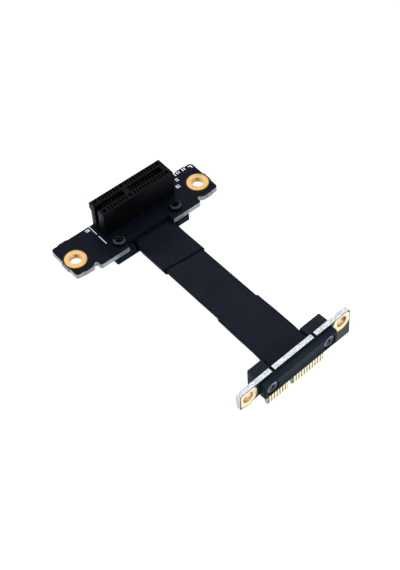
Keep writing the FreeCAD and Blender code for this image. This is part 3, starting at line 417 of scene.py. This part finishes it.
def black_steel(name, axis, base, painted_sheen):
    """Oxide-black steel with a painted highlight: a lighter, less metallic colour on the head's sloping
    faces above its base.

    The sides of the head and its flat top stay black.
    """
    material, tree, shader, place = new_material(name)
    oxide = add_ramp(tree, add_noise(tree, place, scale=1800, detail=4),
                     [(0.3, (0.003, 0.0032, 0.004)), (0.7, (0.007, 0.0075, 0.009))])
    # Painted highlight: this lighter colour stands in for glints on the head's sloping ring
    worn = add_ramp(tree, add_noise(tree, place, scale=2600, detail=4), [(0.3, painted_sheen[0]), (0.7, painted_sheen[1])])
    normal = tree.nodes.new("ShaderNodeNewGeometry").outputs["Normal"]
    sloping = between(tree, along(tree, normal, axis), low=0.3, high=0.93)
    above_base = add_maths(tree, "GREATER_THAN", along(tree, place, axis), base)
    sheen_ring = add_maths(tree, "MULTIPLY", sloping, above_base)
    tree.links.new(mix_colours(tree, sheen_ring, oxide, worn), shader.inputs["Base Color"])
    shader.inputs["Specular IOR Level"].default_value = 0.15
    metal = add_range(tree, sheen_ring, low=0.8, high=0.25, start=0.0, end=1.0)
    tree.links.new(metal, shader.inputs["Metallic"])
    roughen(tree, shader, add_noise(tree, place, scale=4200, detail=3), low=0.2, high=0.36)
    return material


# The socket's screws get a dim painted highlight on the slope of the pan head
socket_screw_steel = black_steel("socket_screw_steel", (0, 0, 1), BOARD_TOP + PAN_HEAD_SHEEN_START,
                                 painted_sheen=((0.018, 0.019, 0.021), (0.06, 0.062, 0.066)))
for name in ("slot_clamp_screw_left", "slot_clamp_screw_right"):
    softened_copy(name, PAN_HEAD_EDGE, socket_screw_steel)

# Wire ribbons: two flat groups of six insulated wires, side by side inside the sleeves.
# Their bared ends are soldered to a row of pads under the socket board and another behind the plug board.
jacket = moulded_plastic("wire_jacket", dark=(0.006, 0.006, 0.007), light=(0.01, 0.01, 0.011),
                         roughness=0.45, specular=0.3, grain=0.05)
for name in ("signal_ribbon", "power_ribbon"):
    use_material(name, jacket)
use_material("plug_wire_joints", solder)

# The cable's own line runs from the front of the socket's clamp to the rear of the plug board
PLUG_TURN = math.radians(4.0)
PLUG_CORE = 1.45 * MM
PLUG_CABLE_SHIFT = 0.9 * MM
SOCKET_CABLE_SHIFT = 1.9 * MM
SOCKET_CLAMP_FRONT = 13.2 * MM
plug_edge = Vector(mounts["card_edge"]["pos_m"])
PLUG = (Matrix.Translation((plug_edge.x, plug_edge.y, 0.0)) @ Matrix.Rotation(PLUG_TURN, 4, "Z")
        @ Matrix.Translation((0.0, -PLUG_CORE / 2, 0.0)))
socket_mouth = Vector((SOCKET_CABLE_SHIFT, SOCKET_BACK - SOCKET_CLAMP_FRONT, 0.0))
plug_mouth = PLUG @ Vector((PLUG_CABLE_SHIFT, PLUG_CORE, 0.0))
run = plug_mouth - socket_mouth
CABLE = Matrix.Translation(socket_mouth) @ Matrix.Rotation(math.atan2(run.y, run.x), 4, "Z")

RIBBON_WIRES = 6
WIRE_PITCH = 0.96 * MM
RIBBON_MIDDLE = 3.02 * MM
PAD_REACH = 6.9 * MM
PAD_RADIUS = 0.42 * MM
PAD_TIP = 0.3 * MM
PAD_STRETCH = 1.8
joint_low, joint_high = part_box("slot_wire_joints")
wires = bmesh.new()
for ribbon in (-RIBBON_MIDDLE, RIBBON_MIDDLE):
    for wire in range(RIBBON_WIRES):
        across_cable = ribbon + (wire - (RIBBON_WIRES - 1) / 2) * WIRE_PITCH
        pad_place = CABLE @ Vector((-PAD_REACH, across_cable, BOARD_LOW))
        solder_joint(wires, pad_place, PAD_RADIUS, PAD_TIP, joint_high[2] - joint_low[2], PAD_STRETCH)
finish_piece(wires, "wire_solder", solder, ["slot_wire_joints"])

# Shrink sleeves: three lengths of flat heat-shrink tube, the middle one first and the end ones over it.
# They follow the cable from the socket's clamp up its slope into the plug's clamp.
LOW_Z = 2.05 * MM
HIGH_Z = 11.85 * MM
BEND = 20.0 * MM
BEND_START = 0.5 * MM
PLUG_LEVEL = 3.9 * MM
BEND_END = run.length - PLUG_LEVEL
rise = HIGH_Z - LOW_Z
across = BEND_END - BEND_START
down = 2 * BEND - rise
SLOPE = math.pi / 2 - math.atan2(down, across) - math.acos(2 * BEND / math.hypot(across, down))
SLOPE_WAY = Vector((math.cos(SLOPE), 0.0, math.sin(SLOPE)))
SLOPE_UP = Vector((-math.sin(SLOPE), 0.0, math.cos(SLOPE)))
LEVEL_WAY = Vector((1.0, 0.0, 0.0))
low_centre = Vector((BEND_START, 0.0, LOW_Z + BEND))
high_centre = Vector((BEND_END, 0.0, HIGH_Z - BEND))
slope_start = low_centre - BEND * SLOPE_UP
slope_end = high_centre + BEND * SLOPE_UP
# Half the width and half the thickness of the end sleeves and of the middle one
OUTER = (6.67 * MM, 1.3 * MM)
INNER = (6.27 * MM, 0.9 * MM)
# Powers that square the oval of a sleeve's end, less so along its crowned top
SQUARED = 0.3
CROWNED = 0.5

sleeve, tree, shader, place = new_material("shrink_sleeve")
grain = add_noise(tree, place, scale=160, detail=5)
colour_by(tree, shader, grain, dark=(0.0038, 0.0046, 0.008), light=(0.0062, 0.0072, 0.012))
sheen = add_range(tree, facing(tree, (0, 0, 1)), low=0.01, high=0.055, start=0.0, end=1.0)
tree.links.new(sheen, shader.inputs["Specular IOR Level"])
roughen(tree, shader, add_noise(tree, place, scale=900, detail=4), low=0.38, high=0.5)
streaks = add_noise(tree, place, scale=260, detail=4, stretch=(3.0, 0.25, 1.0))
add_bump(tree, shader, streaks, strength=0.12, depth=0.08 * MM)


def sleeve_section(bm, half_width, half_thick, x, z):
    """The flat oval end of a tube, standing upright across the cable."""
    made = bmesh.ops.create_circle(bm, cap_ends=True, segments=64, radius=1.0)
    for vert in made["verts"]:
        wide = math.copysign(abs(vert.co.x) ** SQUARED, vert.co.x) * half_width
        power = CROWNED if vert.co.y > 0 else SQUARED
        high = math.copysign(abs(vert.co.y) ** power, vert.co.y) * half_thick
        vert.co = (x, wide, z + high)
    return list(made["verts"][0].link_faces)


def push(bm, faces, way, cuts):
    """Draw the end of a tube straight on."""
    for _ in range(cuts):
        made = bmesh.ops.extrude_face_region(bm, geom=faces)["geom"]
        bmesh.ops.translate(bm, verts=[v for v in made if isinstance(v, bmesh.types.BMVert)], vec=way / cuts)
        bmesh.ops.delete(bm, geom=faces, context="FACES_KEEP_BOUNDARY")
        faces = [f for f in made if isinstance(f, bmesh.types.BMFace)]
    return faces


def turn_end(bm, faces, centre, angle, steps):
    """Draw the end of a tube round a bend."""
    made = bmesh.ops.spin(bm, geom=faces, cent=centre, axis=(0, 1, 0), angle=angle, steps=steps)["geom_last"]
    bmesh.ops.delete(bm, geom=faces, context="FACES_KEEP_BOUNDARY")
    return [f for f in made if isinstance(f, bmesh.types.BMFace)]


def finish_sleeve(bm, name, node):
    """Close a sleeve's hidden end and lay it along the cable's own line."""
    bmesh.ops.holes_fill(bm, edges=[edge for edge in bm.edges if edge.is_boundary])
    bmesh.ops.transform(bm, matrix=CABLE, verts=bm.verts)
    for face in bm.faces:
        face.smooth = len(face.verts) == 4
    finish_piece(bm, name, sleeve, [node])


def slope_at(x):
    """The place on the straight slope at a distance along the floor from the socket's clamp."""
    return slope_start + SLOPE_WAY * ((x - slope_start.x) / SLOPE_WAY.x)


# The upper sleeve's free end bows back at its sides and stands clear of the sleeve inside it
UPPER_END = 14.5 * MM
CLAMPED_LENGTH = 5.0 * MM
LIP_WALL = 0.16 * MM
LIP_DEPTH = 1.2 * MM
END_BOW = 0.45 * MM
upper = bmesh.new()
end = sleeve_section(upper, *OUTER, -CLAMPED_LENGTH, LOW_Z)
end = push(upper, end, LEVEL_WAY * (BEND_START + CLAMPED_LENGTH), cuts=6)
end = turn_end(upper, end, low_centre, -SLOPE, steps=6)
end = push(upper, end, slope_at(UPPER_END) - slope_start, cuts=12)
bmesh.ops.inset_region(upper, faces=end, thickness=LIP_WALL, use_even_offset=True)
push(upper, end, -SLOPE_WAY * LIP_DEPTH, cuts=1)
for vert in upper.verts:
    if vert.co.x > UPPER_END - LIP_DEPTH:
        vert.co -= SLOPE_WAY * END_BOW * (vert.co.y / OUTER[0]) ** 2
finish_sleeve(upper, "upper_shrink_sleeve", "upper_sleeve")

# The middle sleeve lies straight along the slope, and its ends are hidden in the other two
OVERLAP = 3.0 * MM
MIDDLE_SHOW = 24.9 * MM
middle = bmesh.new()
end = sleeve_section(middle, *INNER, 0.0, 0.0)
bmesh.ops.rotate(middle, verts=middle.verts, cent=(0, 0, 0), matrix=Matrix.Rotation(-SLOPE, 3, "Y"))
middle_start = slope_at(UPPER_END - OVERLAP)
bmesh.ops.translate(middle, verts=middle.verts, vec=middle_start)
push(middle, end, slope_at(UPPER_END + MIDDLE_SHOW + OVERLAP) - middle_start, cuts=24)
finish_sleeve(middle, "middle_shrink_sleeve", "middle_sleeve")

# The lower sleeve starts against the plug board, and its free end shrank down onto the sleeve inside it,
# so that its edge shows only at the sides
LOWER_END = slope_at(UPPER_END + MIDDLE_SHOW)
SHRUNK_LENGTH = 9.0 * MM
SHRUNK_THICKNESS = 0.675
# It is drawn a little way through the plug board, which is turned, and cut off just behind the board
BOARD_SLANT = 1.2 * MM
BOARD_REAR = 1.47 * MM
# The clamp pinches it, so that it spreads to its right inside the recess
PINCH_LENGTH = 4.6 * MM
PINCH_SPREAD = 0.6 * MM
lower = bmesh.new()
end = sleeve_section(lower, *OUTER, run.length + BOARD_SLANT, HIGH_Z)
end = push(lower, end, -LEVEL_WAY * (run.length + BOARD_SLANT - BEND_END), cuts=4)
end = turn_end(lower, end, high_centre, -SLOPE, steps=6)
end = push(lower, end, LOWER_END - slope_end, cuts=20)
for vert in lower.verts:
    from_end = (vert.co - LOWER_END).dot(SLOPE_WAY)
    if from_end < SHRUNK_LENGTH:
        share = from_end / SHRUNK_LENGTH
        shrunk = (1 - SHRUNK_THICKNESS) * (1 - share * share * (3 - 2 * share))
        vert.co -= SLOPE_UP * shrunk * (vert.co - LOWER_END).dot(SLOPE_UP)
    inside = (vert.co.x - run.length) / PINCH_LENGTH + 1
    if inside > 0 and vert.co.y > 0:
        vert.co.y *= 1 + PINCH_SPREAD * min(inside, 1.0) / OUTER[0]
to_cable = CABLE.inverted() @ PLUG
board_face = to_cable @ Vector((0.0, BOARD_REAR, 0.0))
bmesh.ops.bisect_plane(lower, geom=lower.verts[:] + lower.edges[:] + lower.faces[:], plane_co=board_face,
                       plane_no=to_cable.to_3x3() @ Vector((0.0, 1.0, 0.0)), clear_inner=True)
finish_sleeve(lower, "lower_shrink_sleeve", "lower_sleeve")

# Plug board: the same board stock stood upright, with a bevelled tongue left bare of mask round its fingers.
# Its top edge and ends were milled, so they show bright glass fibre drawn out along the cut.
TONGUE_TOP = 6.65 * MM
TONGUE_RIGHT = 12.6 * MM
TIP_BEVEL = 0.8 * MM
# The two small notches in the top edge are given the mask's dark colour inside
TOP_NOTCH_LOW = 12.0 * MM
TOP_NOTCH_HIGH = 13.1 * MM
TOP_NOTCH_LEFT = 7.0 * MM
TOP_NOTCH_RIGHT = 10.2 * MM
plug_across = (math.sin(PLUG_TURN), -math.cos(PLUG_TURN), 0.0)
plug_along = Vector((math.cos(PLUG_TURN), math.sin(PLUG_TURN), 0.0))
key_place = PLUG.translation.dot(plug_along)

plug_mask, tree, shader, place = new_material("plug_board_mask")
height = along(tree, place, (0, 0, 1))
from_key = along(tree, place, plug_along)
grain = add_noise(tree, place, scale=500, detail=4)
# Painted reflection: the same mask as the socket board's, given a lighter copy for the upright face
mask = add_ramp(tree, grain, [(0.35, (0.007, 0.0092, 0.0098)), (0.65, (0.0105, 0.013, 0.0138))])
bare = add_ramp(tree, grain, [(0.35, (0.08, 0.058, 0.02)), (0.65, (0.12, 0.09, 0.035))])
tip = add_ramp(tree, grain, [(0.35, (0.5, 0.48, 0.38)), (0.65, (0.66, 0.64, 0.54))])
bare_edge = add_ramp(tree, grain, [(0.35, (0.3, 0.28, 0.18)), (0.65, (0.42, 0.4, 0.28))])
below_mask = add_maths(tree, "LESS_THAN", height, TONGUE_TOP)
left_of_leg = add_maths(tree, "LESS_THAN", from_key, key_place + TONGUE_RIGHT)
tongue = add_maths(tree, "MULTIPLY", below_mask, left_of_leg)
bevelled = add_maths(tree, "LESS_THAN", height, TIP_BEVEL)
face = mix_colours(tree, tongue, mask, mix_colours(tree, bevelled, bare, tip))
drawn_fibre = add_noise(tree, place, scale=2600, detail=7, stretch=(0.6, 1.0, 1.0))
fibre = add_ramp(tree, drawn_fibre, [
    (0.34, (0.36, 0.36, 0.365)),
    (0.5, (0.54, 0.54, 0.535)),
    (0.66, (0.76, 0.755, 0.74))])
notch_height = between(tree, height, TOP_NOTCH_LOW, TOP_NOTCH_HIGH)
notch_reach = between(tree, from_key, key_place - TOP_NOTCH_LEFT, key_place + TOP_NOTCH_RIGHT)
notches = add_maths(tree, "MULTIPLY", notch_height, notch_reach)
cut_edge = mix_colours(tree, notches, mix_colours(tree, tongue, fibre, bare_edge), mask)
on_face = facing(tree, plug_across)
tree.links.new(mix_colours(tree, on_face, cut_edge, face), shader.inputs["Base Color"])
shader.inputs["Specular IOR Level"].default_value = 0.25
tree.links.new(add_range(tree, on_face, low=0.7, high=0.45, start=0.0, end=1.0), shader.inputs["Roughness"])
add_bump(tree, shader, drawn_fibre, strength=0.15, depth=0.04 * MM)
use_material("plug_board", plug_mask)

# Plug's mounting rings: the same copper, painted paler as a painted reflection, and cut off by the board's
# end and top edge.
# A dark line of mask is left between them and the cut.
plug_holes = mounts["plug_board_holes"]
hole_middle = Vector(plug_holes["pos_m"])
hole_reach = plug_along * (plug_holes["dims"]["pcd_mm"] / 2 * MM)
for name, hole in (("plug_left_ring", hole_middle - hole_reach),
                   ("plug_right_ring", hole_middle + hole_reach)):
    # Painted reflection: the plug's rings get a paler gold than the socket board's
    gold = ring_material(name + "_gold", hole, plug_across,
                         deep=(0.82, 0.7, 0.42), bright=(0.9, 0.8, 0.53),
                         barrel=((0.42, 0.19, 0.06), (0.86, 0.6, 0.32)))
    softened_copy(name, RING_EDGE, gold)

# Gold fingers: plated contact strips on both faces of the tongue, etched with the board's copper.
# They are worn in fine lines along their length.
FINGER_EDGE = 0.02 * MM
finger_gold, tree, shader, place = new_material("finger_gold")
grain = add_noise(tree, place, scale=900, detail=4)
# Partly painted reflection: the plated gold is given a pale, creamy colour for the bright light it reflects
colour_by(tree, shader, grain, dark=(0.9, 0.75, 0.42), light=(0.98, 0.88, 0.58))
shader.inputs["Metallic"].default_value = 0.8
worn_lines = add_noise(tree, place, scale=4000, detail=3, stretch=(1.0, 1.0, 0.12))
roughen(tree, shader, worn_lines, low=0.25, high=0.42)
for name in ("plug_fingers_front", "plug_fingers_rear"):
    softened_copy(name, FINGER_EDGE, finger_gold)

# Plug clamps: a thin front bar and a deeper rear bar that grip the board and the cable between them.
# Two black screws sit in counterbores in the front bar and bite into the rear one.
PLUG_CLAMP_EDGE = 0.08 * MM
SUNK_HEAD_EDGE = 0.05 * MM
SUNK_HEAD_FACE = 1.8 * MM
# The sunk heads' painted highlight starts this far behind their face
SUNK_HEAD_SHEEN_DEPTH = 0.55 * MM
# The two bars are one plastic in two painted tints: the front bar's tealer colour is a painted reflection,
# and the rear bar's is redder
front_plastic = moulded_plastic("plug_front_plastic",
                                dark=(0.008, 0.0125, 0.0185), light=(0.0115, 0.0175, 0.0255),
                                roughness=0.44, specular=0.03, grain=0.16)
rear_plastic = moulded_plastic("plug_rear_plastic",
                               dark=(0.0102, 0.0114, 0.0166), light=(0.0146, 0.016, 0.023),
                               roughness=0.44, specular=0.03, grain=0.16)
for name, plastic in (("plug_front_clamp", front_plastic), ("plug_rear_clamp", rear_plastic)):
    softened_copy(name, PLUG_CLAMP_EDGE, plastic)
screw_face = (PLUG @ Vector((0.0, -SUNK_HEAD_FACE, 0.0))).dot(Vector(plug_across))
# The plug's screws get a bright painted highlight ring round the head
plug_screw_steel = black_steel("plug_screw_steel", plug_across, screw_face - SUNK_HEAD_SHEEN_DEPTH,
                               painted_sheen=((0.3, 0.31, 0.34), (0.42, 0.435, 0.47)))
for name in ("plug_clamp_screw_left", "plug_clamp_screw_right"):
    softened_copy(name, SUNK_HEAD_EDGE, plug_screw_steel)

# Studio: a white floor that the lead stands on, soft light from above and round about, and the camera.
# The floor glows evenly, so that it is as white under the lead as away from it.
FLOOR_REACH = 3.0
floor_white, tree, shader, place = new_material("floor_white")
grain = add_noise(tree, place, scale=3, detail=2)
colour_by(tree, shader, grain, dark=(0.1, 0.1, 0.1), light=(0.12, 0.12, 0.12))
shader.inputs["Roughness"].default_value = 0.9
shader.inputs["Specular IOR Level"].default_value = 0.0
shader.inputs["Emission Color"].default_value = (1.0, 1.0, 1.0, 1.0)
shader.inputs["Emission Strength"].default_value = 1.0
floor_mesh = bmesh.new()
bmesh.ops.create_grid(floor_mesh, x_segments=1, y_segments=1, size=FLOOR_REACH)
mesh = bpy.data.meshes.new("floor")
floor_mesh.to_mesh(mesh)
floor_mesh.free()
mesh.materials.append(floor_white)
floor = bpy.data.objects.new("floor", mesh)
floor.visible_diffuse = False
floor.visible_glossy = False
bpy.context.scene.collection.objects.link(floor)

# The room is bright to the left and behind and on the opposite side, and dim between them and overhead
world = bpy.data.worlds.new("soft_room")
world.use_nodes = True
tree = world.node_tree
way = tree.nodes.new("ShaderNodeTexCoord").outputs["Generated"]
side = along(tree, way, (-math.sqrt(0.5), math.sqrt(0.5), 0.0))
glow = add_ramp(tree, add_range(tree, side, low=0.0, high=1.0, start=-1.0, end=1.0),
                [(0.15, (1.4, 1.45, 1.5)), (0.55, (0.2, 0.22, 0.25)), (0.85, (1.6, 1.7, 1.85))])
tree.links.new(glow, tree.nodes["Background"].inputs["Color"])
bpy.context.scene.world = world


def add_softbox(name, place, size, power):
    """A square soft light turned towards the middle of the lead."""
    lamp = bpy.data.lights.new(name, "AREA")
    lamp.shape = "SQUARE"
    lamp.size = size
    lamp.energy = power
    lamp.color = (0.88, 0.95, 1.06)
    lamp_object = bpy.data.objects.new(name, lamp)
    turn = (-Vector(place)).to_track_quat("-Z", "Y").to_matrix().to_4x4()
    lamp_object.matrix_world = Matrix.Translation(place) @ turn
    bpy.context.scene.collection.objects.link(lamp_object)


add_softbox("back_softbox", (0.3, 0.41, 0.62), size=0.6, power=1.55)
add_softbox("overhead_softbox", (-0.1, -0.1, 0.75), size=0.5, power=1.8)

# The camera's place comes from lines of the object measured in the picture's frame of 400 by 570 pixels.
# It is counted from the board's back edge behind the socket's key, along the camera's own axes.
PICTURE_HEIGHT = 570
FOCAL_PIXELS = 1594.766
AZIMUTH = math.radians(-35.831)
ELEVATION = math.radians(50.751)
ROLL = math.radians(-4.354)
CAMERA_BACK = 453.198 * MM
CAMERA_RIGHT = 22.104 * MM
CAMERA_UP = -22.525 * MM
back = Vector((math.sin(AZIMUTH) * math.cos(ELEVATION), -math.cos(AZIMUTH) * math.cos(ELEVATION),
               math.sin(ELEVATION)))
level_right = Vector((math.cos(AZIMUTH), math.sin(AZIMUTH), 0.0))
level_up = back.cross(level_right)
right = level_right * math.cos(ROLL) + level_up * math.sin(ROLL)
up = level_up * math.cos(ROLL) - level_right * math.sin(ROLL)
aim = Vector((0.0, SOCKET_BACK, BOARD_TOP))
camera = bpy.data.cameras.new("camera")
camera.lens = FOCAL_PIXELS * camera.sensor_width / PICTURE_HEIGHT
camera.clip_start = 0.01
camera_object = bpy.data.objects.new("camera", camera)
axes = Matrix((right, up, back)).transposed().to_4x4()
camera_object.matrix_world = Matrix.Translation(
    aim + back * CAMERA_BACK + right * CAMERA_RIGHT + up * CAMERA_UP) @ axes
bpy.context.scene.collection.objects.link(camera_object)
bpy.context.scene.camera = camera_object
bpy.context.scene.view_settings.view_transform = "Standard"
